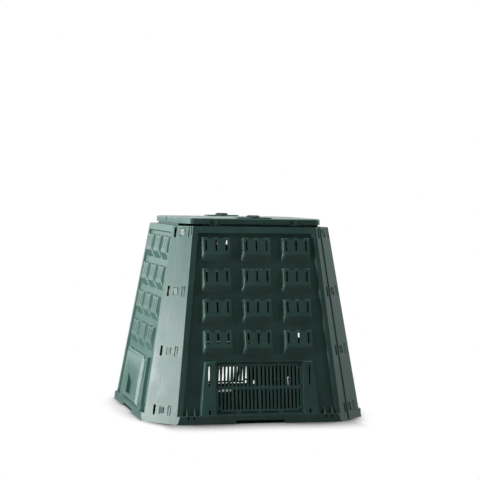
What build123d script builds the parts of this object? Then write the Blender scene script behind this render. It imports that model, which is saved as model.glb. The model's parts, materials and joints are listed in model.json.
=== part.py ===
from build123d import *
import os
from math import cos, radians, sin, sqrt

# Garden compost bin: four identical leaning walls that snap together at the corners, two vent
# grilles, two bottom hatches and a flat lid in two leaves that fold up from a middle bar.
# Millimetres, +Z up, the front faces -Y, origin on the ground under the middle of the bin.

# ---- driving dimensions -------------------------------------------------------------------
WALL_TOP = 960.0          # height of the walls
LID_TOP = 1000.0          # height of the closed lid
SHEET = 4.0               # thickness of the mouldings
SEAM = 0.4                # gap between the overlapping wings at a corner
GAP = 0.3                 # gap between pieces that move past each other

SKIRT_HALF = 567.0        # outer face of the ground skirt, from the middle
SKIRT_TOP = 39.6          # height of the ledge on top of the skirt
FACE_HALF_LOW = 559.3     # outer plane of a wall at the ground, from the middle
FACE_HALF_TOP = 402.4     # the same at the top of the wall
CORNER_LOW = 982.0        # |x| + |y| on a corner face at the ground
CORNER_TOP = 722.3        # the same at the top of the wall

BORDER = 27.5             # width of the raised border round a wall's panel
BORDER_TOP = 928.0        # height of the panel's top edge
PANEL_DEPTH = 11.5        # how far the panel lies behind the border
DRAFT = 5.0               # slope of the moulded steps, measured along the wall

LOUVRE_PITCH = 205.5      # columns of louvres
LOUVRE_ROWS = (865.4, 713.5, 561.7, 409.8)
LOUVRE_HALF_WIDTH = 76.5
LOUVRE_RISE = 41.5        # louvre's top edge above its slots' middle
LOUVRE_FALL = 81.0        # louvre's bottom edge below it
LOUVRE_BEVEL = 47.5       # where the sloping foot starts
LOUVRE_PROUD = 19.0       # how far a louvre stands out of the panel
LOUVRE_SIDE_DRAFT = 11.0
LOUVRE_ROUND = 4.0
LOUVRE_CORNER = 16.0      # round where a louvre's sides run into its sloping foot
AIR_SLOT = (9.3, 51.5)    # width and height of an air slot
AIR_SLOT_PITCH = 51.5
TOP_SLOT = (29.0, 6.5)    # length and height of the two slots through a louvre's top edge

BLOCK_HALF_LOW = 310.4    # raised block at the foot of the wall, half-width at the ground
BLOCK_TOP = 300.0
BLOCK_PROUD = 18.0
BLOCK_ROUND = 4.0
DOORWAY_HALF = 222.5      # recess for a grille or a hatch
DOORWAY_LOW = 41.0
SEAT_DEPTH = 12.0         # depth of the recess below the block's face
SEAT_WIDTH = 12.0         # flange that the grille or hatch rests on
BLOCK_SLOT_X = 256.0      # slots in the block, each side of the doorway
BLOCK_SLOTS = ((8.0, 180.0, 275.0), (10.0, 44.0, 64.0))    # width, foot and head of each

NOTCH_HALF = 124.0        # notch in the skirt's lower edge
NOTCH_TOP = 16.0
PEG_X = 350.0             # sockets for ground pegs in the skirt
PEG_SLOT_X = 14.3         # a socket's slots and ribs, from its middle
PEG_SLOT_HALF = 3.5
PEG_RIB_X = 19.5
PEG_RIB_HALF = 3.0
FOOT_BAND = 2.0           # how far the corners' foot band stands out
FOOT_BEAD = 5.0           # the bead along its lower edge: how far out, and how high

GRILLE_SLOTS = 10         # air slots each side of the middle
GRILLE_PITCH = 19.3
GRILLE_SLOT_HALF = 4.7
GRILLE_ROWS = ((178.0, 276.0), (66.0, 163.5))
OUTLINE_X = (-159.0, -53.0, 53.0, 159.0)  # slots of the grille's broken outline, above and below
OUTLINE_Z = (52.0, 290.0)
OUTLINE_END_X = 204.0                     # and at its ends
OUTLINE_END_Z = ((272.0, 293.0), (182.0, 262.0), (78.0, 160.0), (49.0, 68.0))
SNAP_X = 216.0                            # the grille's snaps
SNAP_Z = (283.0, 180.0, 62.0)

HATCH_PROUD = 13.0        # how far the hatch stands out of the block's face
HATCH_AXIS_DROP = 12.0    # hinge axis below the block's top
HATCH_AXIS_OUT = 5.0      # hinge axis outside the wall's outer plane
HATCH_BARREL = 7.0
HATCH_BEVEL_TOP = 16.0    # the hatch's bevels, at its top and inside its edges
HATCH_PIN_REACH = 8.0     # length of a hatch pin each side of the doorway's edge
SCOOP_HALF = 70.0         # finger scoop in the hatch
SCOOP_DEPTH = 6.0
SCOOP = (77.0, 126.0, 184.0)              # heights of its foot, its floor's end and its head
HATCH_PIN = 3.0           # radius of a hatch pin
PIN_CLEARANCE = 0.05

STATIONS = (62.0, 347.0, 638.0, 929.0)    # heights of the corner snaps
UNDER_SLOT_X = 45.0       # slot in the under wing, from the corner's middle line
OVER_SLOT_X = 45.0        # slot in the over wing, the other way
SNAP_SLOT_TOP = 25.0      # half-height of those slots
UNDER_SLOT_HALF = 6.5
OVER_SLOT_HALF = 9.0
OVER_WING_REACH = 26.0    # how far the over wing passes the middle line
UNDER_WING_REACH = 22.0
WING_ROUND = 3.0          # round on the over wing's free edge
WINDOW = (-14.0, 16.0)    # window in the over wing, along the corner
WINDOW_HALF_HEIGHT = 19.0

NECK_HALF = 366.0         # upstand round the mouth, inside the lid's rim
NECK_LENGTH_HALF = 262.0

LID_HALF_X = 376.5
LID_HALF_Y = 390.0
LID_FRONT_HALF = 333.0    # straight part of a free edge
LID_SIDE_HALF = 262.0     # straight part of a side
LID_RIM_LOW = 971.0
LID_SHEET = 5.0
LID_CORNER = 32.0
LID_EDGE = 7.0

AXIS_Y = 10.0             # lid hinge axes, each side of the middle
AXIS_Z = 996.0
ROD = 2.5
EYE = 5.2
LUG_PITCH = 138.0
LUG_WIDTH = 12.0
EYE_WIDTH = 60.0
BAR_HALF = 30.0
BAR_LOW = 966.0
BAR_TOP = 990.0
BAR_END = 368.5

KNOB_Y = 345.0
KNOB_RADIUS = 35.0
KNOB_CROWN = 27.5
KNOB_HEIGHT = 10.0
KNOB_FLUTES = 16
STEM = 9.9
PLATE_TOP = 1006.0
CLIP_X = 206.0
CLIP_HALF = 25.0          # half-width of the notch that a clip sits in
CAM_LOW = 978.0
CAM_TOP = 986.0
LEAF_RIB_X = (-300.0, -190.0, -80.0, 80.0, 190.0, 300.0)
LEAF_RIB_DEPTH = 14.0

# ---- worked out from them -----------------------------------------------------------------
FACE_SLOPE = (FACE_HALF_LOW - FACE_HALF_TOP) / WALL_TOP
CORNER_SLOPE = (CORNER_LOW - CORNER_TOP) / sqrt(2) / WALL_TOP
FACE_STRETCH = sqrt(1 + FACE_SLOPE**2)
CORNER_STRETCH = sqrt(1 + CORNER_SLOPE**2)
EDGE_LOW = CORNER_LOW - FACE_HALF_LOW
EDGE_SLOPE = (EDGE_LOW - (CORNER_TOP - FACE_HALF_TOP)) / WALL_TOP / FACE_STRETCH

FACE = Plane(origin=(0, -FACE_HALF_LOW, 0), x_dir=(1, 0, 0), z_dir=(0, -1, FACE_SLOPE))
LEFT_CORNER = Plane(
    origin=(-CORNER_LOW / 2, -CORNER_LOW / 2, 0), x_dir=(1, -1, 0), z_dir=(-1, -1, sqrt(2) * CORNER_SLOPE)
)
RIGHT_CORNER = Plane(
    origin=(CORNER_LOW / 2, -CORNER_LOW / 2, 0), x_dir=(1, 1, 0), z_dir=(1, -1, sqrt(2) * CORNER_SLOPE)
)
PANEL = -PANEL_DEPTH                          # the panel's level, outwards from the border
BLOCK_FACE = PANEL + BLOCK_PROUD
SEAT = BLOCK_FACE - SEAT_DEPTH
FAR = 2000.0


def up(z):
    """Distance along the leaning face for a height above the ground."""
    return z * FACE_STRETCH


def corner_up(z):
    """Distance along a leaning corner for a height above the ground."""
    return z * CORNER_STRETCH


HATCH_AXIS = (up(BLOCK_TOP) - HATCH_AXIS_DROP, HATCH_AXIS_OUT)


# ---- shapes in a plane's own frame: u along it, v up it, w out of it ------------------------
def outward(points, w0, w1):
    """Prism of a (u, v) outline from level w0 out to w1."""
    return extrude(Pos(0, 0, w0) * Polygon(*points, align=None), amount=w1 - w0, dir=(0, 0, 1))


def run_u(outline, u0, u1):
    """Prism of a (v, w) sketch from u0 to u1."""
    return extrude(Plane.YZ.offset(u0) * outline, amount=u1 - u0, dir=(1, 0, 0))


def run_v(outline, v0, v1):
    """Prism of a (u, w) sketch from v0 to v1."""
    return extrude(Plane.XZ.offset(-v1) * outline, amount=v1 - v0, dir=(0, -1, 0))


def along_u(points, u0, u1):
    """Prism of a (v, w) outline from u0 to u1."""
    return run_u(Polygon(*points, align=None), u0, u1)


def along_v(points, v0, v1):
    """Prism of a (u, w) outline from v0 to v1."""
    return run_v(Polygon(*points, align=None), v0, v1)


def block(u0, u1, v0, v1, w0, w1):
    """Box between two corners."""
    return Pos((u0 + u1) / 2, (v0 + v1) / 2, (w0 + w1) / 2) * Box(u1 - u0, v1 - v0, w1 - w0)


def rod(radius, start, end):
    """Round bar between two points."""
    a = Vector(*start)
    b = Vector(*end)
    return Solid.make_cylinder(radius, (b - a).length, Plane(origin=a, z_dir=b - a))


def taper(half_low, v0, v1, inset=0.0, foot_inset=True):
    """Outline whose sides lean in like the wall's edges; half_low is its half-width at the ground."""
    low = v0 + (inset if foot_inset else 0.0)
    high = v1 - inset
    wide = half_low - inset - EDGE_SLOPE * low
    narrow = half_low - inset - EDGE_SLOPE * high
    return [(-wide, low), (wide, low), (narrow, high), (-narrow, high)]


def stepped(half_low, v0, v1, w0, w1, inset, foot_inset=True):
    """Tapered outline at w0 drawn in by inset at w1, as moulded steps are."""
    base = Pos(0, 0, w0) * Polygon(*taper(half_low, v0, v1, 0.0, foot_inset), align=None)
    crown = Pos(0, 0, w1) * Polygon(*taper(half_low, v0, v1, inset, foot_inset), align=None)
    return loft([base.face(), crown.face()], ruled=True)


def level_slice(solid, low, high):
    """The part of a solid between two heights."""
    return solid & block(-FAR, FAR, -FAR, FAR, low, high)


# ---- wall ---------------------------------------------------------------------------------
def panel_sheet():
    """Bordered sheet: a flat border, a step back, and the panel inside it."""
    low = up(SKIRT_TOP) - 20
    high = up(WALL_TOP) + 20
    panel_half = EDGE_LOW - BORDER
    slab = outward(taper(EDGE_LOW, low, high), PANEL - SHEET, 0)
    front = stepped(panel_half - DRAFT, low - 20, up(BORDER_TOP) - DRAFT, PANEL, 1.0,
                    -DRAFT * (1 + 1 / PANEL_DEPTH), False)
    rim = outward(taper(EDGE_LOW + 40, low - 30, high + 30), PANEL - SHEET - 1, -SHEET)
    core = stepped(panel_half - DRAFT + SHEET, low - 60, up(BORDER_TOP) - DRAFT + SHEET,
                   PANEL - SHEET - 2, 0, -DRAFT * (1 + (SHEET + 2) / PANEL_DEPTH), False)
    return slab - front - (rim - core)


def louvre_form(inset, deep):
    """Louvre's outline as a solid; inset and deep turn it into the hollow behind."""
    foot = (LOUVRE_FALL - LOUVRE_BEVEL) / LOUVRE_PROUD
    side = LOUVRE_SIDE_DRAFT / LOUVRE_PROUD
    base = PANEL - deep
    profile = Polygon(
        (LOUVRE_RISE, base),
        (LOUVRE_RISE - 2, PANEL + LOUVRE_PROUD - 3),
        (-LOUVRE_BEVEL, PANEL + LOUVRE_PROUD),
        (-LOUVRE_FALL - foot * deep, base),
        align=None,
    )
    width = LOUVRE_HALF_WIDTH + side * deep
    crown = LOUVRE_HALF_WIDTH - side * (LOUVRE_PROUD + 5)
    section = Polygon((-width, base), (width, base), (crown, PANEL + LOUVRE_PROUD + 5),
                      (-crown, PANEL + LOUVRE_PROUD + 5), align=None)
    if inset:
        profile = offset(profile, amount=-inset, kind=Kind.INTERSECTION)
        section = offset(section, amount=-inset, kind=Kind.INTERSECTION)
    across = run_u(profile, -LOUVRE_HALF_WIDTH - 20, LOUVRE_HALF_WIDTH + 20)
    upright = run_v(section, -LOUVRE_FALL - 40, LOUVRE_RISE + 20)
    form = across & upright
    lower = form.edges().filter_by(lambda e: e.center().Y < -LOUVRE_BEVEL - 5 and e.center().Z > base + 1)
    corners = lower.filter_by(lambda e: abs(e.center().X) > LOUVRE_HALF_WIDTH - 25 and e.length > 15)
    form = fillet(corners, LOUVRE_CORNER - inset)
    if inset:
        return form
    face = form.edges().filter_by(lambda e: e.center().Z > PANEL + 3 and e.center().Y > -LOUVRE_BEVEL - 2)
    return fillet(face, LOUVRE_ROUND)


def louvre_slots():
    """Three air slots in a louvre's face and two through its top edge."""
    width, height = AIR_SLOT
    reach = (PANEL + 2, PANEL + LOUVRE_PROUD + 5)
    slots = [
        block(x - width / 2, x + width / 2, -height / 2, height / 2, *reach)
        for x in (-AIR_SLOT_PITCH, 0, AIR_SLOT_PITCH)
    ]
    length, height = TOP_SLOT
    reach = (PANEL + LOUVRE_PROUD / 3, PANEL + LOUVRE_PROUD + 5)
    for x in (-AIR_SLOT_PITCH / 2, AIR_SLOT_PITCH / 2):
        slots.append(block(x - length / 2, x + length / 2, LOUVRE_RISE - height, LOUVRE_RISE + 5, *reach))
    return slots


def foot_block():
    """Raised block at the foot, with the hollow behind it."""
    low = up(SKIRT_TOP) - 25
    form = stepped(BLOCK_HALF_LOW, low, up(BLOCK_TOP), PANEL - 1, BLOCK_FACE, DRAFT, False)
    crown = form.edges().filter_by(lambda e: e.center().Z > PANEL + 3 and e.center().Y > low + 5)
    form = fillet(crown, BLOCK_ROUND)
    hollow = stepped(BLOCK_HALF_LOW - SHEET, low - 20, up(BLOCK_TOP) - SHEET, PANEL - SHEET - 1,
                     BLOCK_FACE - SHEET, DRAFT, False)
    return form, hollow


def doorway():
    """Tray that holds a grille or hatch, its recess, and the opening through the wall."""
    top = up(BLOCK_TOP)
    low = up(DOORWAY_LOW)
    tray = block(-DOORWAY_HALF - SHEET, DOORWAY_HALF + SHEET, low - 15, top - 2 * SHEET, SEAT - SHEET,
                 BLOCK_FACE - 1)
    recess = block(-DOORWAY_HALF, DOORWAY_HALF, low, top + 30, SEAT, BLOCK_FACE + 30)
    clear = DOORWAY_HALF - SEAT_WIDTH
    way = block(-clear, clear, low + SEAT_WIDTH, top - 2.2 * SEAT_WIDTH, SEAT - 40, SEAT + 5)
    far_end = DOORWAY_HALF + HATCH_PIN_REACH + 1
    bores = rod(HATCH_PIN + PIN_CLEARANCE, (-far_end, *HATCH_AXIS), (far_end, *HATCH_AXIS))
    return tray, [recess, way, bores]


def block_slots():
    """Slots in the foot block each side of the doorway."""
    cuts = []
    for side in (-1, 1):
        x = side * BLOCK_SLOT_X
        cuts += [block(x - width / 2, x + width / 2, up(foot), up(head), BLOCK_FACE - 10, BLOCK_FACE + 5)
                 for width, foot, head in BLOCK_SLOTS]
    return cuts


def skirt():
    """Ground skirt: upright face, ledge on top, foot flange, with its notch and peg slots."""
    inner = SKIRT_HALF - SHEET
    face = block(-FAR / 2, FAR / 2, -SKIRT_HALF, -inner, 0, SKIRT_TOP)
    ledge = block(-FAR / 2, FAR / 2, -inner - 1, -inner + 36, SKIRT_TOP - SHEET, SKIRT_TOP)
    foot = block(-FAR / 2, FAR / 2, -inner - 1, -inner + 14, 0, SHEET)
    body = face + ledge + foot
    cuts = [block(-NOTCH_HALF, NOTCH_HALF, -SKIRT_HALF - 5, -inner + 20, -1, NOTCH_TOP)]
    rib = along_u([(-SKIRT_HALF + 1, SKIRT_TOP - 1), (-SKIRT_HALF + 32, SKIRT_TOP - 1),
                   (-SKIRT_HALF + 32, SKIRT_TOP + 40)], -PEG_RIB_HALF, PEG_RIB_HALF)
    slot = block(-PEG_SLOT_HALF, PEG_SLOT_HALF, -SKIRT_HALF - 5, -inner + 4, SKIRT_TOP / 2, SKIRT_TOP + 1)
    for x in (-PEG_X, PEG_X):
        body = body + [Pos(x + s, 0, 0) * rib for s in (-PEG_RIB_X, PEG_RIB_X)]
        cuts += [Pos(x + s, 0, 0) * slot for s in (-PEG_SLOT_X, PEG_SLOT_X)]
    return body - cuts


def top_flange():
    """Flange at the top of the wall and the upstand that the lid closes over."""
    outer = FACE_HALF_TOP - 1.5
    inner = NECK_HALF - SHEET
    corner = CORNER_TOP - 13
    flange = outward([(outer - corner, -outer), (corner - outer, -outer), (corner - inner, -inner),
                      (inner - corner, -inner)], WALL_TOP - SHEET, WALL_TOP)
    neck = block(-NECK_LENGTH_HALF, NECK_LENGTH_HALF, -NECK_HALF, -NECK_HALF + SHEET, WALL_TOP - SHEET,
                 LID_TOP - LID_SHEET - GAP)
    bar_notch = block(-BAR_HALF - 1, BAR_HALF + 1, -NECK_HALF - 5, -NECK_HALF + SHEET + 5, BAR_LOW, LID_TOP)
    return (flange + neck) - bar_notch


def wing(start, end, level):
    """Corner wing in its own plane: a sheet from start to end, both (at the ground, at the top)."""
    high = corner_up(WALL_TOP)
    margin = 20.0

    def point(side, v):
        return side[0] + (side[1] - side[0]) * v / high, v

    foot, head = -margin, high + margin
    points = [point(start, foot), point(end, foot), point(end, head), point(start, head)]
    return outward(points, level - SHEET, level)


def corner_foot(plane, u0, u1, level, proud):
    """Foot band of a corner wing, with a bead along its lower edge, as far as the skirt's outer face."""
    head = corner_up(SKIRT_TOP)
    band = block(u0, u1, -10, head, level - SHEET, level + proud)
    bead = block(u0, u1, -10, FOOT_BEAD, level - SHEET, level + FOOT_BEAD)
    return plane.location * (band + bead) - block(-FAR, FAR, -FAR, -SKIRT_HALF, -FAR, FAR)


def wings():
    """Over wing on the left of the wall and under wing on its right, with their snaps."""
    half_low = (2 * FACE_HALF_LOW - CORNER_LOW) / sqrt(2)
    half_top = (2 * FACE_HALF_TOP - CORNER_TOP) / sqrt(2)
    skirt_corner = half_low + (SKIRT_HALF - FACE_HALF_LOW) * 3
    below = -SHEET - SEAM
    over = wing((-OVER_WING_REACH, -OVER_WING_REACH), (half_low, half_top), 0)
    free_edge = over.edges().filter_by(Axis.Y).filter_by(lambda e: e.center().Z > -1 and e.center().X < 0)
    over = LEFT_CORNER.location * fillet(free_edge, WING_ROUND)
    under = wing((-half_low - 2, -half_top - 2), (UNDER_WING_REACH, UNDER_WING_REACH), below)
    over = over + corner_foot(LEFT_CORNER, -OVER_WING_REACH, skirt_corner, 0, FOOT_BAND)
    under = RIGHT_CORNER.location * under
    under = under + corner_foot(RIGHT_CORNER, -skirt_corner, -OVER_WING_REACH - 1, below, FOOT_BAND)
    peg_lean = (WINDOW_HALF_HEIGHT - 4) * CORNER_SLOPE
    window = block(*WINDOW, -WINDOW_HALF_HEIGHT, WINDOW_HALF_HEIGHT, -10, 8)
    peg = along_u([(-15, below - 1), (15, below - 1), (15, peg_lean), (-15, -peg_lean)], -12, 12)
    over_place = Pos(OVER_SLOT_X, 0, 0)
    over_slot = over_place * block(-OVER_SLOT_HALF, OVER_SLOT_HALF, -SNAP_SLOT_TOP, SNAP_SLOT_TOP, -10, 8)
    tongue = over_place * block(-5, 5, -SNAP_SLOT_TOP - 1, SNAP_SLOT_TOP - 4, -SHEET, -0.5)
    under_place = Pos(-UNDER_SLOT_X, 0, 0)
    under_slot = under_place * block(-UNDER_SLOT_HALF, UNDER_SLOT_HALF, -SNAP_SLOT_TOP, SNAP_SLOT_TOP, -12, 5)
    cuts = []
    catches = []
    for z in STATIONS:
        v = corner_up(z)
        left = LEFT_CORNER.location * Pos(0, v, 0)
        right = RIGHT_CORNER.location * Pos(0, v, 0)
        cuts += [left * window, left * over_slot, right * under_slot]
        catches += [left * tongue, right * peg]
    return over + under, cuts, catches


def make_wall():
    """One wall moulding, placed as the front wall."""
    form, hollow = foot_block()
    tray, door_cuts = doorway()
    rows = [(x, up(z)) for z in LOUVRE_ROWS for x in (-LOUVRE_PITCH, 0, LOUVRE_PITCH)]
    outer = louvre_form(0, 1)
    inner = louvre_form(SHEET - 0.5, 2 * SHEET)
    sheet = panel_sheet() + [Pos(x, v, 0) * outer for x, v in rows] + form
    sheet = sheet - ([Pos(x, v, 0) * inner for x, v in rows] + [hollow])
    sheet = sheet + tray
    cuts = door_cuts + block_slots()
    for x, v in rows:
        cuts += [Pos(x, v, 0) * slot for slot in louvre_slots()]
    sheet = sheet - cuts
    face = level_slice(FACE.location * sheet, SKIRT_TOP - SHEET, WALL_TOP)
    wing_sheets, wing_cuts, catches = wings()
    wing_sheets = level_slice(wing_sheets, 0, WALL_TOP)
    lower = skirt()
    step = SHEET + SEAM
    beyond_left = LEFT_CORNER.location * block(-FAR, FAR, -FAR, FAR, 0, FAR)
    beyond_right = RIGHT_CORNER.location * block(-FAR, FAR, -FAR, FAR, -step, FAR)
    body = (face + lower + top_flange() - [beyond_left, beyond_right]) + wing_sheets
    body = body - wing_cuts
    return body + catches


# ---- grille and hatch -----------------------------------------------------------------------
def make_grille():
    """Snap-in grille: two rows of upright air slots inside a broken outline."""
    low = up(DOORWAY_LOW) + GAP
    high = up(BLOCK_TOP) - 2
    half = DOORWAY_HALF - GAP
    panel = block(-half, half, low, high, SEAT, SEAT + SHEET)
    panel += block(-half, half, high - 3, high, SEAT, SEAT + 2 * SHEET)
    cuts = []
    for i in range(GRILLE_SLOTS):
        for x in (-GRILLE_PITCH * (i + 0.6), GRILLE_PITCH * (i + 0.6)):
            sides = (x - GRILLE_SLOT_HALF, x + GRILLE_SLOT_HALF)
            cuts += [block(*sides, up(foot), up(head), SEAT - 5, SEAT + 15) for foot, head in GRILLE_ROWS]
    for x in OUTLINE_X:
        cuts += [block(x - 43, x + 43, up(z) - 4, up(z) + 4, SEAT - 5, SEAT + 15) for z in OUTLINE_Z]
    for x in (-OUTLINE_END_X, OUTLINE_END_X):
        cuts += [block(x - 4, x + 4, up(foot), up(head), SEAT - 5, SEAT + 15) for foot, head in OUTLINE_END_Z]
    nibs = []
    for side in (-1, 1):
        for z in SNAP_Z:
            x = side * SNAP_X
            cuts.append(block(x - 7, x + 7, up(z) - 9, up(z) + 9, SEAT + 1.5, SEAT + 15))
            nibs.append(outward([(x - side * 7, up(z) - 5), (x + side * 5, up(z)), (x - side * 7, up(z) + 5)],
                                SEAT + 1, SEAT + SHEET))
    return FACE.location * ((panel - cuts) + nibs)


def make_hatch():
    """Top-hinged hatch: a bevelled shell with a finger scoop."""
    low = up(DOORWAY_LOW) + 2
    half = DOORWAY_HALF - 1
    back = SEAT + GAP
    front = BLOCK_FACE + HATCH_PROUD
    axis = HATCH_AXIS

    def form(inset):
        behind = back - (10 if inset else 0)
        level = front - inset
        foot = low + inset
        shoulder = HATCH_PROUD - inset / 2
        profile = [(foot, behind), (foot, BLOCK_FACE), (low + shoulder + inset, level),
                   (axis[0] - HATCH_BEVEL_TOP, level), (axis[0], axis[1] + HATCH_BARREL - inset),
                   (axis[0], behind)]
        edge = half - inset
        section = [(-edge, behind), (edge, behind), (edge, BLOCK_FACE), (edge - shoulder, front),
                   (-edge + shoulder, front), (-edge, BLOCK_FACE)]
        return along_u(profile, -half, half) & along_v(section, 0, axis[0] + 30)

    barrel = rod(HATCH_BARREL, (-half, *axis), (half, *axis))
    foot, floor_end, head = (up(z) for z in SCOOP)
    floor = BLOCK_FACE - SCOOP_DEPTH
    scoop = [(foot, floor), (floor_end, floor), (head, front + 1), (foot, front + 1)]
    tray = [(foot - SHEET, floor - 3), (floor_end + 2, floor - 3), (head + SHEET, front - 1),
            (foot - SHEET, front - 1)]
    shell = (form(0) + barrel) - form(SHEET)
    shell = shell + along_u(tray, -SCOOP_HALF - SHEET, SCOOP_HALF + SHEET)
    shell = shell - along_u(scoop, -SCOOP_HALF, SCOOP_HALF)
    bore = rod(HATCH_PIN + PIN_CLEARANCE, (-half - 5, *axis), (half + 5, *axis))
    return FACE.location * (shell - bore)


def make_hatch_pins():
    """The two pins a hatch turns on."""
    pins = []
    for side in (-1, 1):
        ends = [(side * (DOORWAY_HALF + reach), *HATCH_AXIS) for reach in (-HATCH_PIN_REACH, HATCH_PIN_REACH)]
        pins.append(FACE.location * rod(HATCH_PIN, *ends))
    return Compound(children=pins)


# ---- lid ------------------------------------------------------------------------------------
def lug_places():
    """Places of the bar's hinge lugs along X."""
    return [LUG_PITCH * (i - 2.5) for i in range(6)]


def eye_places():
    """Places of a leaf's hinge eyes along X."""
    return [LUG_PITCH * (i - 2) for i in range(5)]


def lid_outline(grow, inner_edge):
    """Plan of the front leaf, grown outwards and reaching to inner_edge."""
    x = LID_HALF_X + grow
    y = -LID_HALF_Y - grow
    return [(-x, inner_edge), (-x, -LID_SIDE_HALF), (-LID_FRONT_HALF - grow, y), (LID_FRONT_HALF + grow, y),
            (x, -LID_SIDE_HALF), (x, inner_edge)]


def leaf_plan(grow, inner_edge):
    """Leaf's plan with its four outer corners rounded."""
    plan = Polygon(*lid_outline(grow, inner_edge), align=None)
    corners = plan.vertices().filter_by(lambda v: v.Y < inner_edge - 50)
    return fillet(corners, LID_CORNER + grow)


def make_leaf():
    """Front leaf of the lid: a rimmed tray, ribbed below, with hinge eyes on its inner edge."""
    inner_edge = -AXIS_Y + 3
    tray = extrude(Pos(0, 0, LID_RIM_LOW) * leaf_plan(0, inner_edge), amount=LID_TOP - LID_RIM_LOW)
    rim = tray.faces().sort_by(Axis.Z)[-1].edges().filter_by(lambda e: e.center().Y < inner_edge - 1)
    tray = fillet(rim, LID_EDGE)
    hollow = extrude(Pos(0, 0, LID_RIM_LOW - 1) * leaf_plan(-SHEET, inner_edge + 20),
                     amount=LID_TOP - LID_SHEET - LID_RIM_LOW + 1)
    underside = LID_TOP - LID_SHEET
    depth = (underside - LEAF_RIB_DEPTH, underside + 1)
    ribs = [block(x - 1.5, x + 1.5, -352, -40, *depth) for x in LEAF_RIB_X]
    ribs.append(block(-355, 355, -201.5, -198.5, *depth))
    leaf = (tray - hollow) + ribs
    leaf = leaf + [rod(EYE, (x - EYE_WIDTH / 2, -AXIS_Y, AXIS_Z), (x + EYE_WIDTH / 2, -AXIS_Y, AXIS_Z))
                   for x in eye_places()]
    reach = LUG_WIDTH / 2 + 1
    cuts = [block(x - reach, x + reach, -AXIS_Y - 7, 0, LID_RIM_LOW, LID_TOP + 10) for x in lug_places()]
    cuts.append(rod(ROD + PIN_CLEARANCE, (-FAR / 2, -AXIS_Y, AXIS_Z), (FAR / 2, -AXIS_Y, AXIS_Z)))
    cuts.append(rod(STEM + PIN_CLEARANCE, (0, -KNOB_Y, LID_TOP - 20), (0, -KNOB_Y, LID_TOP + 20)))
    for x in (-CLIP_X, CLIP_X):
        cuts.append(block(x - CLIP_HALF, x + CLIP_HALF, -LID_HALF_Y - 1, -LID_HALF_Y + 2.5, LID_RIM_LOW - 1,
                          LID_TOP - LID_EDGE))
        cuts.append(block(x - CLIP_HALF + 4, x - 8, -LID_HALF_Y - 1, -LID_HALF_Y + SHEET + 1, LID_RIM_LOW - 1,
                          LID_TOP - 2 * LID_EDGE))
    return leaf - cuts


def make_bar():
    """Middle bar: a channel across the mouth with lugs for the two hinge rods."""
    bar = block(-BAR_END, BAR_END, -BAR_HALF, BAR_HALF, BAR_LOW, BAR_TOP)
    bar = bar - block(-BAR_END + SHEET, BAR_END - SHEET, -BAR_HALF + SHEET, BAR_HALF - SHEET, BAR_LOW - 1,
                      BAR_TOP - SHEET)
    half = LUG_WIDTH / 2
    for x in lug_places():
        bar = bar + block(x - half, x + half, -AXIS_Y - EYE, AXIS_Y + EYE, BAR_TOP - 1, AXIS_Z)
        bar = bar + [rod(EYE, (x - half, y, AXIS_Z), (x + half, y, AXIS_Z)) for y in (-AXIS_Y, AXIS_Y)]
        bar = bar + block(x - half, x + half, -AXIS_Y, AXIS_Y, AXIS_Z - 1, AXIS_Z + 3)
    for x in range(-300, 301, 120):
        bar = bar + block(x - 1.5, x + 1.5, -BAR_HALF + 1, BAR_HALF - 1, BAR_LOW + 6, BAR_TOP - 1)
    cuts = [rod(ROD + PIN_CLEARANCE, (-FAR / 2, y, AXIS_Z), (FAR / 2, y, AXIS_Z)) for y in (-AXIS_Y, AXIS_Y)]
    return bar - cuts


def make_rod():
    """Front hinge rod."""
    end = 2.5 * LUG_PITCH + LUG_WIDTH / 2
    return rod(ROD, (-end - 2, -AXIS_Y, AXIS_Z), (end + 2, -AXIS_Y, AXIS_Z))


def make_handle_plate():
    """Raised plate on the front leaf that frames the knob, with a finger dish each side."""
    plan = Pos(0, -KNOB_Y) * RectangleRounded(184, 70, 16)
    plate = extrude(Pos(0, 0, LID_TOP) * plan, amount=PLATE_TOP - LID_TOP)
    plate = chamfer(plate.faces().sort_by(Axis.Z)[-1].edges(), 2.0)
    for x in (-62, 62):
        dish = Pos(x, -KNOB_Y, PLATE_TOP) * RectangleRounded(44, 46, 10)
        plate = plate - extrude(dish, amount=-3.5)
    return plate - rod(STEM + PIN_CLEARANCE, (0, -KNOB_Y, LID_TOP - 5), (0, -KNOB_Y, PLATE_TOP + 5))


def make_knob():
    """Fluted turning knob on the front leaf, with a grip groove each side of its bar, and its stem."""
    low = PLATE_TOP + GAP
    top = low + KNOB_HEIGHT
    skirt_top = Pos(0, -KNOB_Y, low + 3) * Circle(KNOB_RADIUS)
    crown = Pos(0, -KNOB_Y, top) * Circle(KNOB_CROWN)
    knob = loft([skirt_top.face(), crown.face()])
    knob = fillet(knob.faces().sort_by(Axis.Z)[-1].edges(), 2.0)
    knob = knob + rod(KNOB_RADIUS, (0, -KNOB_Y, low), (0, -KNOB_Y, low + 3))
    knob = knob + rod(STEM, (0, -KNOB_Y, 986), (0, -KNOB_Y, low + 1))
    cuts = [block(-40, 40, -KNOB_Y + s * 14 - 6, -KNOB_Y + s * 14 + 6, top - 5, top + 5) for s in (-1, 1)]
    for i in range(KNOB_FLUTES):
        turn = radians(360 * i / KNOB_FLUTES)
        lower = (KNOB_RADIUS + 1) * cos(turn), (KNOB_RADIUS + 1) * sin(turn) - KNOB_Y
        upper = (KNOB_CROWN + 1) * cos(turn), (KNOB_CROWN + 1) * sin(turn) - KNOB_Y
        cuts.append(rod(3.0, (*lower, low + 2), (*upper, top + 1)))
    cuts.append(rod(ROD + 0.1, (0, -KNOB_Y, 985), (0, -KNOB_Y, 1004)))
    return knob - cuts


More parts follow.
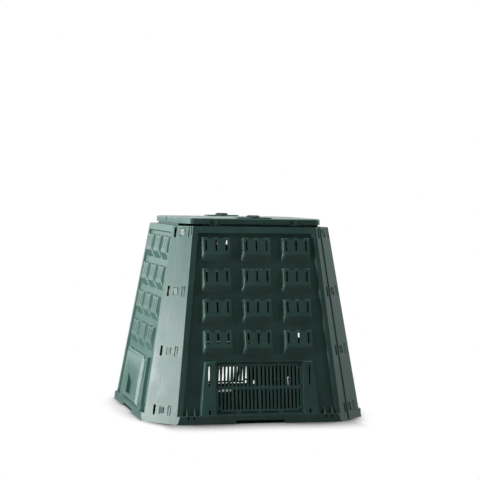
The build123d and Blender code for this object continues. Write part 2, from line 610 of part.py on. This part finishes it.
def make_cam():
    """Locking cam below the front leaf; it points along the rim when the lid is free."""
    hub = rod(14, (0, -KNOB_Y, CAM_LOW), (0, -KNOB_Y, CAM_TOP))
    arm = block(0, 37, -KNOB_Y - 8, -KNOB_Y + 8, CAM_LOW, CAM_TOP)
    return (hub + arm) - rod(3, (0, -KNOB_Y, CAM_LOW - 1), (0, -KNOB_Y, CAM_TOP + 1))


def make_knob_screw():
    """Screw that holds the cam on the knob's stem."""
    shank = rod(ROD, (0, -KNOB_Y, CAM_LOW - 1), (0, -KNOB_Y, CAM_TOP + 17))
    head = rod(6, (0, -KNOB_Y, CAM_LOW - 4), (0, -KNOB_Y, CAM_LOW))
    level = (CAM_LOW - 5, CAM_LOW - 2.5)
    arms = [block(-x, x, -KNOB_Y - y, -KNOB_Y + y, *level) for x, y in ((4, 0.6), (0.6, 4))]
    return (shank + head) - arms


def make_clips():
    """The two spring clips on the front leaf's free edge: a slanted tongue beside a grip rib."""
    clips = []
    face = -LID_HALF_Y
    inner = face + SHEET + GAP
    for x in (-CLIP_X, CLIP_X):
        tongue = outward([(x - 6, face - 1), (x + 24, face - 1), (x + 24, face + 2.2), (x - 6, face + 2.2)],
                         LID_RIM_LOW - 5, LID_TOP - LID_EDGE - 1)
        sole = block(x - 24, x + 24, face - 2, inner + 3, LID_RIM_LOW - 6, LID_RIM_LOW - 3)
        hook = block(x - 24, x + 24, inner, inner + 3, LID_RIM_LOW - 6, LID_RIM_LOW + 13)
        rib = block(x + 6, x + 12, face - 3, face, LID_RIM_LOW - 3, LID_TOP - LID_EDGE - 1)
        clips.append(tongue + sole + hook + rib)
    return Compound(children=clips)


# ---- assembly -------------------------------------------------------------------------------
def turned(shape, angle):
    """A piece turned about the bin's upright middle line."""
    return Rot(0, 0, angle) * shape


def cam_slotted(wall):
    """Slot in the upstand that a cam turns into."""
    return wall - block(-14, 50, -NECK_HALF - 5, -NECK_HALF + SHEET + 5, 975, 989)


wall = cam_slotted(make_wall())
grille = make_grille()
hatch = make_hatch()
hatch_pins = make_hatch_pins()
pieces = {"lid_bar": make_bar()}
for name, angle in (("front", 0), ("right", 90), ("back", 180), ("left", 270)):
    pieces["wall_" + name] = turned(wall, angle)
for name, angle in (("front", 0), ("back", 180)):
    pieces["vent_grille_" + name] = turned(grille, angle)
for name, angle in (("right", 90), ("left", 270)):
    pieces["hatch_door_" + name] = turned(hatch, angle)
    pieces["hatch_pins_" + name] = turned(hatch_pins, angle)
lid_pieces = {
    "lid_leaf_": make_leaf(),
    "hinge_rod_": make_rod(),
    "handle_plate_": make_handle_plate(),
    "lock_knob_": make_knob(),
    "lock_cam_": make_cam(),
    "knob_screw_": make_knob_screw(),
    "lid_clips_": make_clips(),
}
for name, angle in (("front", 0), ("back", 180)):
    for stem, shape in lid_pieces.items():
        pieces[stem + name] = turned(shape, angle)

os.makedirs("parts", exist_ok=True)
for name, shape in pieces.items():
    export_step(shape, "parts/" + name + ".step")
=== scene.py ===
import json
from math import cos, pi, radians, sin

import bpy
from mathutils import Matrix, Vector


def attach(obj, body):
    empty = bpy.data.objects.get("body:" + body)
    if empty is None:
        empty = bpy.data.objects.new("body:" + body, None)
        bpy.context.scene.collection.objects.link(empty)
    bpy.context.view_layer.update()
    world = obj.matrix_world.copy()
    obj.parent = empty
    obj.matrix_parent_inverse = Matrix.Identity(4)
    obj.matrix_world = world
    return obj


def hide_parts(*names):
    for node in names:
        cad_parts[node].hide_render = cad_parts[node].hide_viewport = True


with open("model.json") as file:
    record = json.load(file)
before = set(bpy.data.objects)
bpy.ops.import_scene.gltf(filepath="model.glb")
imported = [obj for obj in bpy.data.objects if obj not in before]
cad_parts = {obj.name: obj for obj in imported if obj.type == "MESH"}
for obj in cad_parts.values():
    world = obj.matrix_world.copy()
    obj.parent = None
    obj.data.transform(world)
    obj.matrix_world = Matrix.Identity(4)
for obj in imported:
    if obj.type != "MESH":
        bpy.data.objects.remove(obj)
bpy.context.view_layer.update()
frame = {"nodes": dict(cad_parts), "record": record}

bl_info = {
    "name": "Compost Bin Maker",
    "version": (1, 0, 0),
    "blender": (4, 5, 0),
    "location": "View3D > Sidebar > Compost Bin",
    "description": "Dresses the compost bin's mouldings, lid, locks and hatches, and sets its studio",
    "category": "Object",
}

MM = 0.001
WALL_NAMES = ("front", "right", "back", "left")
FRONT_AND_BACK = ("front", "back")
LEFT_AND_RIGHT = ("left", "right")

# Sizes in the moulded plastic's finish
MOTTLE_SIZE = 110 * MM
STREAK_SIZE = 30 * MM
WAVE_SIZE = 70 * MM
WAVE_DEPTH = 0.25 * MM
GRAIN_DEPTH = 0.03 * MM

# Sizes in the steel's finish
SCRATCH_SIZE = 0.6 * MM
SCRATCH_DEPTH = 0.02 * MM
CLOUD_SIZE = 12 * MM

# Where the floor's painted contact shadow and painted shade lie
SHADOW_REACH = 0.28
PAINTED_SHADE_HALF = 0.556           # half the width under the bin where the floor is painted near black as shade, just within the skirt
CORNER_SHARE = 0.575        # cuts the painted dark square's corners as the bin's chamfers do
SIDE_START = 0.47           # |x| past which the painted shadow thins out, and where that ends
SIDE_END = 0.60

# Studio lights: name, place, aim, width, height, share of the key power
LIGHTS = (
    ("key_light", (-3.3, 0.50, 1.60), (0, 0.2, 1.1), 3.0, 1.5, 0.84),
    ("low_left_light", (-3.2, -0.75, 0.55), (0, -0.5, 0.5), 0.6, 1.1, 0.60),
    ("top_left_light", (-2.2, 0.1, 3.2), (0, 0, 0.5), 1.8, 1.8, 1.10),
    ("top_right_light", (2.4, -0.6, 3.2), (0, 0, 0.5), 1.8, 1.8, 0.55),
)


# ---- sizes and colours that a user would change ---------------------------------------------
class BinFinish(bpy.types.PropertyGroup):
    """Colours and textures of the bin's materials"""

    plastic_color: bpy.props.FloatVectorProperty(
        name="Plastic", description="Green of the moulded plastic", subtype="COLOR",
        default=(0.052, 0.125, 0.105), min=0, max=1)
    pale_color: bpy.props.FloatVectorProperty(
        name="Plastic, pale", description="Paler green of its mottling", subtype="COLOR",
        default=(0.075, 0.165, 0.140), min=0, max=1)
    dark_color: bpy.props.FloatVectorProperty(
        name="Dark plastic", description="Colour of knobs, cams and pins", subtype="COLOR",
        default=(0.016, 0.036, 0.032), min=0, max=1)
    steel_color: bpy.props.FloatVectorProperty(
        name="Steel", description="Colour of rods and screws", subtype="COLOR",
        default=(0.50, 0.51, 0.52), min=0, max=1)
    grain: bpy.props.FloatProperty(
        name="Grain", description="Size of the moulding's fine grain", default=1.3 * MM, unit="LENGTH")
    edge_radius: bpy.props.FloatProperty(
        name="Edge radius", description="Radius on the edges of the mouldings", default=0.9 * MM,
        unit="LENGTH")


class BinStage(bpy.types.PropertyGroup):
    """Studio and camera"""

    floor_half: bpy.props.FloatProperty(
        name="Floor", description="Half the floor's width", default=60.0, unit="LENGTH")
    turn: bpy.props.FloatProperty(
        name="Turn", description="How far round to the left the camera stands", default=radians(14.06),
        subtype="ANGLE")
    rise: bpy.props.FloatProperty(
        name="Rise", description="Angle that the camera looks down at", default=radians(1.844),
        subtype="ANGLE")
    roll: bpy.props.FloatProperty(
        name="Roll", description="Tilt of the camera", default=radians(0.922), subtype="ANGLE")
    distance: bpy.props.FloatProperty(
        name="Distance", description="From the camera to its target", default=7.776, unit="LENGTH")
    target_side: bpy.props.FloatProperty(
        name="Target, sideways", description="Target's place along X", default=0.0206, unit="LENGTH")
    target_height: bpy.props.FloatProperty(
        name="Target, height", description="Target's height", default=0.8800, unit="LENGTH")
    lens: bpy.props.FloatProperty(
        name="Lens", description="Focal length in millimetres on a 36 mm sensor", default=110.77)
    key_power: bpy.props.FloatProperty(
        name="Key light", description="Power that each light has its share of", default=78.0)


# ---- shader maths ---------------------------------------------------------------------------
class Wire:
    """A shader socket that can be added, subtracted, multiplied and compared."""

    def __init__(self, graph, socket):
        self.graph = graph
        self.socket = socket

    def sum(self, operation, a, b):
        return self.graph.node("ShaderNodeMath", {"operation": operation}, {0: a, 1: b})

    def __add__(self, other):
        return self.sum("ADD", self, other)

    def __radd__(self, other):
        return self.sum("ADD", other, self)

    def __sub__(self, other):
        return self.sum("SUBTRACT", self, other)

    def __rsub__(self, other):
        return self.sum("SUBTRACT", other, self)

    def __mul__(self, other):
        return self.sum("MULTIPLY", self, other)

    def __rmul__(self, other):
        return self.sum("MULTIPLY", other, self)

    def __gt__(self, other):
        return self.sum("GREATER_THAN", self, other)

    def __abs__(self):
        return self.sum("ABSOLUTE", self, 0.0)

    def greatest(self, other):
        return self.sum("MAXIMUM", self, other)


class Graph:
    """A material's nodes, written as expressions."""

    def __init__(self, owner):
        owner.use_nodes = True
        self.tree = owner.node_tree
        self.tree.nodes.clear()

    def node(self, kind, settings=None, inputs=None, out=0):
        """Any node: its settings first, then the values or links of its sockets."""
        made = self.tree.nodes.new(kind)
        for name, value in (settings or {}).items():
            setattr(made, name, value)
        for key, value in (inputs or {}).items():
            self.feed(made.inputs[key], value)
        return Wire(self, made.outputs[out]) if made.outputs else None

    def feed(self, socket, value):
        if isinstance(value, Wire):
            self.tree.links.new(value.socket, socket)
        elif isinstance(value, tuple) and len(value) == 3 and socket.type == "RGBA":
            socket.default_value = (*value, 1)
        else:
            socket.default_value = value

    def place(self, stretch=(1, 1, 1)):
        """The piece's own coordinates, stretched."""
        place = self.node("ShaderNodeTexCoord", out="Object")
        if stretch == (1, 1, 1):
            return place
        return self.node("ShaderNodeMapping", None, {"Vector": place, "Scale": stretch})

    def noise(self, size, detail=2.0, stretch=(1, 1, 1)):
        """Noise about 0 to 1 whose blobs are about size across."""
        return self.node("ShaderNodeTexNoise", None,
                         {"Vector": self.place(stretch), "Scale": 1 / size, "Detail": detail})

    def blend(self, factor, a, b):
        """Colour between a and b."""
        return self.node("ShaderNodeMix", {"data_type": "RGBA"}, {0: factor, 6: a, 7: b}, out=2)

    def limit(self, value, low, high):
        """Value's stretch from low to high as 0 to 1."""
        return self.node("ShaderNodeMapRange", None, {"Value": value, "From Min": low, "From Max": high})

    def bump(self, height, depth, below=None):
        """Normal for a height from 0 to 1 that stands for depth metres."""
        inputs = {"Height": height, "Distance": depth, "Strength": 1.0}
        if below is not None:
            inputs["Normal"] = below
        return self.node("ShaderNodeBump", None, inputs)

    def surface(self, **inputs):
        """Principled surface to the output; names with an underscore stand for names with a space."""
        shader = self.node("ShaderNodeBsdfPrincipled", None,
                           {name.replace("_", " "): value for name, value in inputs.items()})
        self.node("ShaderNodeOutputMaterial", None, {"Surface": shader})


def moulded_plastic(name, color, pale, rough, coat):
    """Moulded plastic: mottled, faintly streaked by its flow, with a fine grain."""
    finish = bpy.context.scene.bin_finish
    material = bpy.data.materials.new(name)
    graph = Graph(material)
    mottle = graph.noise(MOTTLE_SIZE, 3.0)
    streak = graph.noise(STREAK_SIZE, 2.0, (1, 1, 0.12))
    speck = graph.limit(graph.noise(2.2 * finish.grain, 1.0), 0.62, 0.78)
    shade = graph.limit(mottle * 0.7 + streak * 0.3, 0.36, 0.64)
    body = graph.blend(shade * 0.75, tuple(color), tuple(pale))
    tint = graph.blend(speck * 0.22, body, tuple(1.7 * c for c in pale))
    grain = graph.noise(finish.grain, 2.0)
    wave = graph.noise(WAVE_SIZE, 1.0)
    normal = graph.bump(wave, WAVE_DEPTH)
    normal = graph.bump(grain, GRAIN_DEPTH, normal)
    graph.surface(Base_Color=tint, Roughness=rough + 0.10 * (shade - 0.5) + 0.05 * speck, Normal=normal,
                  IOR=1.5, Coat_Weight=coat, Coat_Roughness=0.25)
    return material


def drawn_steel(name, color, along):
    """Drawn, zinc plated steel with fine scratches along its length."""
    material = bpy.data.materials.new(name)
    graph = Graph(material)
    stretch = tuple(0.03 if axis == along else 1.0 for axis in range(3))
    scratch = graph.noise(SCRATCH_SIZE, 3.0, stretch)
    cloud = graph.noise(CLOUD_SIZE, 2.0)
    tint = graph.blend(cloud, tuple(0.8 * c for c in color), tuple(color))
    graph.surface(Base_Color=tint, Metallic=1.0, Roughness=0.26 + 0.22 * scratch,
                  Normal=graph.bump(scratch, SCRATCH_DEPTH))
    return material


def materials():
    """The bin's materials by slot, made once."""
    if "green moulding" not in bpy.data.materials:
        finish = bpy.context.scene.bin_finish
        moulded_plastic("green moulding", finish.plastic_color, finish.pale_color, 0.33, 0.0)
        dark_pale = tuple(1.4 * c for c in finish.dark_color)
        moulded_plastic("dark moulding", finish.dark_color, dark_pale, 0.36, 0.1)
        drawn_steel("rod steel", finish.steel_color, 0)
        drawn_steel("screw steel", finish.steel_color, 2)
    return {
        "green_plastic": bpy.data.materials["green moulding"],
        "dark_plastic": bpy.data.materials["dark moulding"],
        "rod_steel": bpy.data.materials["rod steel"],
        "screw_steel": bpy.data.materials["screw steel"],
    }


# ---- modelling helpers ----------------------------------------------------------------------
def only(piece):
    """Selects one object and nothing else."""
    for other in list(bpy.context.selected_objects):
        other.select_set(False)
    bpy.context.view_layer.objects.active = piece
    piece.select_set(True)


def apply(piece, kind, **settings):
    """Adds a modifier and applies it."""
    only(piece)
    modifier = piece.modifiers.new(kind.lower(), kind)
    for name, value in settings.items():
        setattr(modifier, name, value)
    bpy.ops.object.modifier_apply(modifier=modifier.name)


def ease(piece, radius, segments=2, limit=radians(28)):
    """Rounds a piece's edges and shades it smooth between its sharp ones."""
    only(piece)
    bpy.ops.object.shade_smooth_by_angle(angle=radians(35))
    apply(piece, "BEVEL", width=radius, segments=segments, limit_method="ANGLE", angle_limit=limit,
          use_clamp_overlap=True, miter_outer="MITER_ARC", harden_normals=True)


def body_of(node):
    """The CAD body that a node rides on."""
    for body, nodes in frame["record"]["behaviour"]["bodies"].items():
        if node in nodes:
            return body
    raise KeyError(node)


def slot_of(node):
    """The material slot that the record gives a node."""
    for row in frame["record"]["subparts"]:
        if row["node"] == node:
            return row["material_slot"]
    raise KeyError(node)


def dress(piece, body, slot):
    """Material, slot and body of a finished piece."""
    piece.data.materials.clear()
    piece.data.materials.append(materials()[slot])
    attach(piece, body)


def moulding(node, radius):
    """Merged copy of a CAD node with eased edges, which stands for the node."""
    piece = bpy.data.objects.new(node + "_moulding", frame["nodes"][node].data.copy())
    bpy.context.scene.collection.objects.link(piece)
    only(piece)
    bpy.ops.mesh.customdata_custom_splitnormals_clear()
    bpy.ops.object.mode_set(mode="EDIT")
    bpy.ops.mesh.select_all(action="SELECT")
    bpy.ops.mesh.remove_doubles(threshold=0.002 * MM)
    bpy.ops.object.mode_set(mode="OBJECT")
    ease(piece, radius)
    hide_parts(node)
    dress(piece, body_of(node), slot_of(node))
    return piece


# ---- the bin's pieces, one operator each ----------------------------------------------------
class COMPOSTBIN_OT_walls(bpy.types.Operator):
    """Finish the four wall mouldings"""

    bl_idname = "compostbin.walls"
    bl_label = "Walls"

    def execute(self, context):
        for name in WALL_NAMES:
            moulding("wall_" + name, context.scene.bin_finish.edge_radius)
        return {"FINISHED"}


class COMPOSTBIN_OT_grilles(bpy.types.Operator):
    """Finish the snap-in grilles"""

    bl_idname = "compostbin.grilles"
    bl_label = "Grilles"

    def execute(self, context):
        for name in FRONT_AND_BACK:
            moulding("vent_grille_" + name, 0.6 * MM)
        return {"FINISHED"}


class COMPOSTBIN_OT_hatches(bpy.types.Operator):
    """Finish the hatches and their pins"""

    bl_idname = "compostbin.hatches"
    bl_label = "Hatches"

    def execute(self, context):
        for name in LEFT_AND_RIGHT:
            moulding("hatch_door_" + name, 1.5 * MM)
            moulding("hatch_pins_" + name, 0.4 * MM)
        return {"FINISHED"}


class COMPOSTBIN_OT_lid(bpy.types.Operator):
    """Finish the lid's leaves, bar, rods and clips"""

    bl_idname = "compostbin.lid"
    bl_label = "Lid"

    def execute(self, context):
        moulding("lid_bar", 0.8 * MM)
        for name in FRONT_AND_BACK:
            moulding("lid_leaf_" + name, 0.8 * MM)
            moulding("lid_clips_" + name, 0.6 * MM)
            moulding("hinge_rod_" + name, 0.4 * MM)
        return {"FINISHED"}


class COMPOSTBIN_OT_locks(bpy.types.Operator):
    """Finish the handle plates, knobs, cams and screws"""

    bl_idname = "compostbin.locks"
    bl_label = "Locks"

    def execute(self, context):
        for name in FRONT_AND_BACK:
            moulding("handle_plate_" + name, 0.7 * MM)
            moulding("lock_knob_" + name, 0.7 * MM)
            moulding("lock_cam_" + name, 0.8 * MM)
            moulding("knob_screw_" + name, 0.2 * MM)
        return {"FINISHED"}


# ---- studio ---------------------------------------------------------------------------------
def studio_world():
    """White backdrop; the light comes mostly from behind, the sides and above."""
    world = bpy.data.worlds.new("studio")
    bpy.context.scene.world = world
    graph = Graph(world)
    direction = graph.node("ShaderNodeTexCoord", out="Generated")
    depth = graph.node("ShaderNodeSeparateXYZ", None, {0: direction}, out="Y")
    fill = graph.limit(depth, -0.50, 0.60)
    strength = 0.09 + 0.91 * fill
    seen = graph.node("ShaderNodeLightPath", out="Is Camera Ray")
    shown = graph.node("ShaderNodeBackground", None, {"Color": (1, 1, 1), "Strength": 1.0})
    cast = graph.node("ShaderNodeBackground", None, {"Color": (1, 1, 1), "Strength": strength})
    mixed = graph.node("ShaderNodeMixShader", None, {0: seen, 1: cast, 2: shown})
    graph.node("ShaderNodeOutputWorld", None, {"Surface": mixed})


def studio_floor(half):
    """Pale floor that glows white, with a soft shadow painted into its glow close to the bin and painted
    near-black shade under the bin.
    """
    bpy.ops.mesh.primitive_plane_add(size=2 * half, location=(0, 0, 0))
    floor = bpy.context.object
    floor.name = "studio_floor"
    material = bpy.data.materials.new("studio floor")
    graph = Graph(material)
    near = graph.node("ShaderNodeAmbientOcclusion", {"samples": 8}, {"Distance": SHADOW_REACH}, out="AO")
    across = abs(graph.node("ShaderNodeSeparateXYZ", None, {0: graph.place()}, out="X"))
    deep = abs(graph.node("ShaderNodeSeparateXYZ", None, {0: graph.place()}, out="Y"))
    # Painted shadow: the AO darkens the floor's glow close to the bin, less at the left and right
    lit = graph.limit(near + 0.28 * graph.limit(across, SIDE_START, SIDE_END), 0.52, 0.97)
    # Painted shade: inside the bin's footprint the floor's glow is painted near black, for the shade
    # inside the bin
    outside = across.greatest(deep).greatest(CORNER_SHARE * (across + deep)) > PAINTED_SHADE_HALF
    shade = lit * lit * outside
    seen = graph.node("ShaderNodeLightPath", out="Is Camera Ray")
    # Painted shadow and shade: the glow's colour runs from near black to white
    painted_shadow_tone = graph.blend(shade, (0.002, 0.003, 0.003), (1, 1, 1))
    glow = graph.node("ShaderNodeEmission", None, {"Color": painted_shadow_tone, "Strength": 1.0})
    matt = graph.node("ShaderNodeBsdfDiffuse", None, {"Color": (0.16, 0.16, 0.16)})
    mixed = graph.node("ShaderNodeMixShader", None, {0: seen, 1: matt, 2: glow})
    graph.node("ShaderNodeOutputMaterial", None, {"Surface": mixed})
    floor.data.materials.append(material)


def soft_light(name, place, aim, width, height, power):
    """Rectangular soft light at place, facing aim."""
    bpy.ops.object.light_add(type="AREA", location=place)
    light = bpy.context.object
    light.name = name
    light.data.shape = "RECTANGLE"
    light.data.size = width
    light.data.size_y = height
    light.data.energy = power
    light.rotation_euler = (Vector(aim) - Vector(place)).to_track_quat("-Z", "Y").to_euler()


class COMPOSTBIN_OT_stage(bpy.types.Operator):
    """Set the floor, the lights and the camera"""

    bl_idname = "compostbin.stage"
    bl_label = "Studio"

    def execute(self, context):
        stage = context.scene.bin_stage
        context.scene.view_settings.view_transform = "Standard"
        studio_world()
        studio_floor(stage.floor_half)
        for name, place, aim, width, height, share in LIGHTS:
            soft_light(name, place, aim, width, height, share * stage.key_power)
        target = Vector((stage.target_side, 0, stage.target_height))
        level = cos(stage.rise)
        away = Vector((-sin(stage.turn) * level, -cos(stage.turn) * level, sin(stage.rise)))
        bpy.ops.object.camera_add(location=target + stage.distance * away)
        camera = context.object
        camera.data.sensor_width = 36.0
        camera.data.lens = stage.lens
        camera.data.clip_end = 200.0
        facing = Matrix.Rotation(-stage.turn, 4, "Z") @ Matrix.Rotation(pi / 2 - stage.rise, 4, "X")
        camera.rotation_euler = (facing @ Matrix.Rotation(stage.roll, 4, "Z")).to_euler()
        context.scene.camera = camera
        return {"FINISHED"}


class COMPOSTBIN_PT_panel(bpy.types.Panel):
    """Buttons for each group of pieces"""

    bl_label = "Compost Bin"
    bl_idname = "COMPOSTBIN_PT_panel"
    bl_space_type = "VIEW_3D"
    bl_region_type = "UI"
    bl_category = "Compost Bin"

    def draw(self, context):
        for group in (context.scene.bin_finish, context.scene.bin_stage):
            for name in group.__annotations__:
                self.layout.prop(group, name)
        for maker in MAKERS:
            self.layout.operator(maker.bl_idname)


MAKERS = (COMPOSTBIN_OT_stage, COMPOSTBIN_OT_walls, COMPOSTBIN_OT_grilles, COMPOSTBIN_OT_hatches,
          COMPOSTBIN_OT_lid, COMPOSTBIN_OT_locks)
CLASSES = (BinFinish, BinStage, *MAKERS, COMPOSTBIN_PT_panel)


def register():
    for item in CLASSES:
        bpy.utils.register_class(item)
    bpy.types.Scene.bin_finish = bpy.props.PointerProperty(type=BinFinish)
    bpy.types.Scene.bin_stage = bpy.props.PointerProperty(type=BinStage)


def unregister():
    del bpy.types.Scene.bin_stage
    del bpy.types.Scene.bin_finish
    for item in reversed(CLASSES):
        bpy.utils.unregister_class(item)


def main():
    register()
    bpy.ops.compostbin.stage()
    bpy.ops.compostbin.walls()
    bpy.ops.compostbin.grilles()
    bpy.ops.compostbin.hatches()
    bpy.ops.compostbin.lid()
    bpy.ops.compostbin.locks()


if __name__ == "__main__":
    main()
